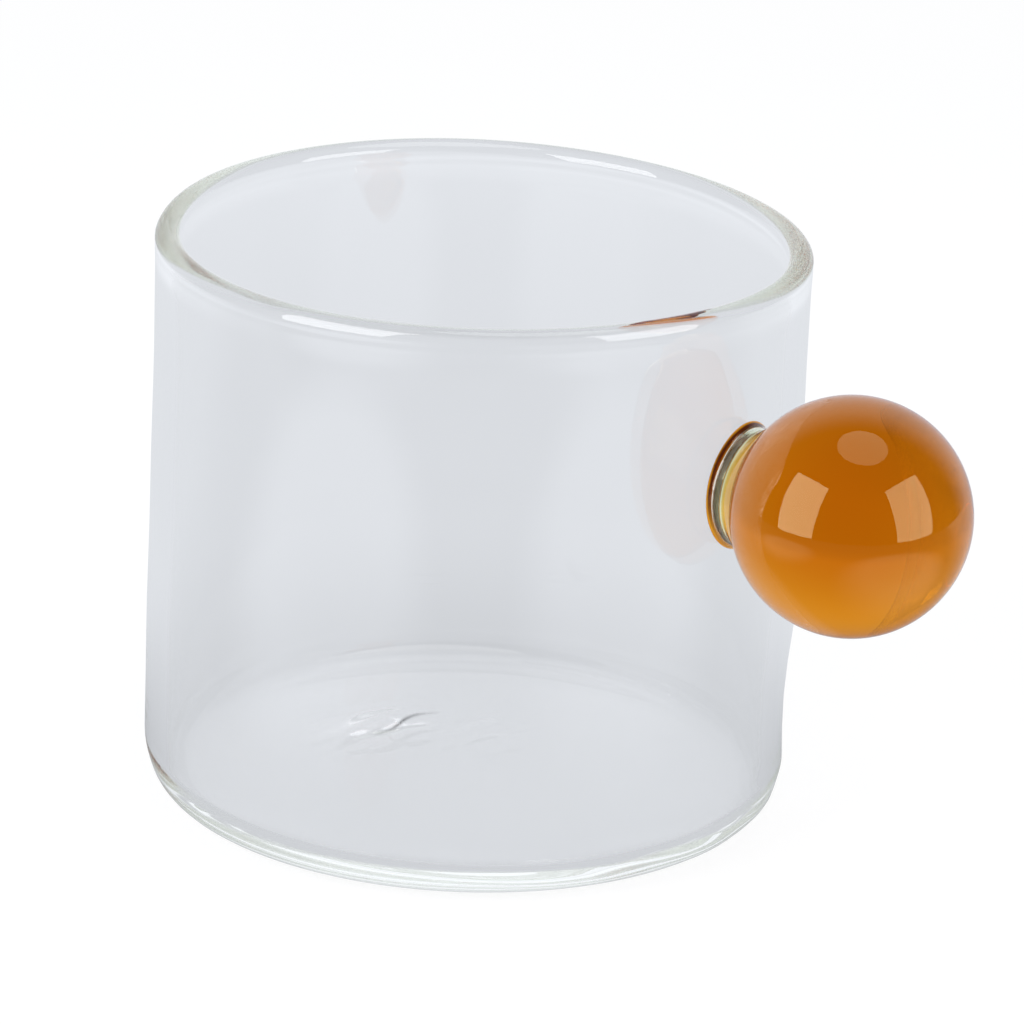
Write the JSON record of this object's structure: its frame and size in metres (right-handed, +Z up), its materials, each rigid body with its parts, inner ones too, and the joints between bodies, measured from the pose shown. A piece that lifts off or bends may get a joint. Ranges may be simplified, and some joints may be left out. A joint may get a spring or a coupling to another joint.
{
  "type": "glass coffee cup",
  "caption": "Clear hand-formed glass cup with a straight round wall, a fire-polished rim and a solid amber glass ball on a short clear neck, welded to the side as its handle.",
  "frame": {"origin": "centre of the flat underside of the cup", "axes": "+Z up along the cup's axis, +X towards the ball handle"},
  "size_m": [0.11, 0.0794, 0.0716],
  "materials": {
    "clear_glass": "clear, polished, faintly green where it is thick",
    "amber_glass": "clear amber, polished",
    "straw_glass": "clear with a pale straw tint, polished"
  },
  "bodies": {
    "root": {"cup_body": "clear_glass", "handle_neck": "straw_glass", "ball_handle": "amber_glass"}
  },
  "joints": []
}
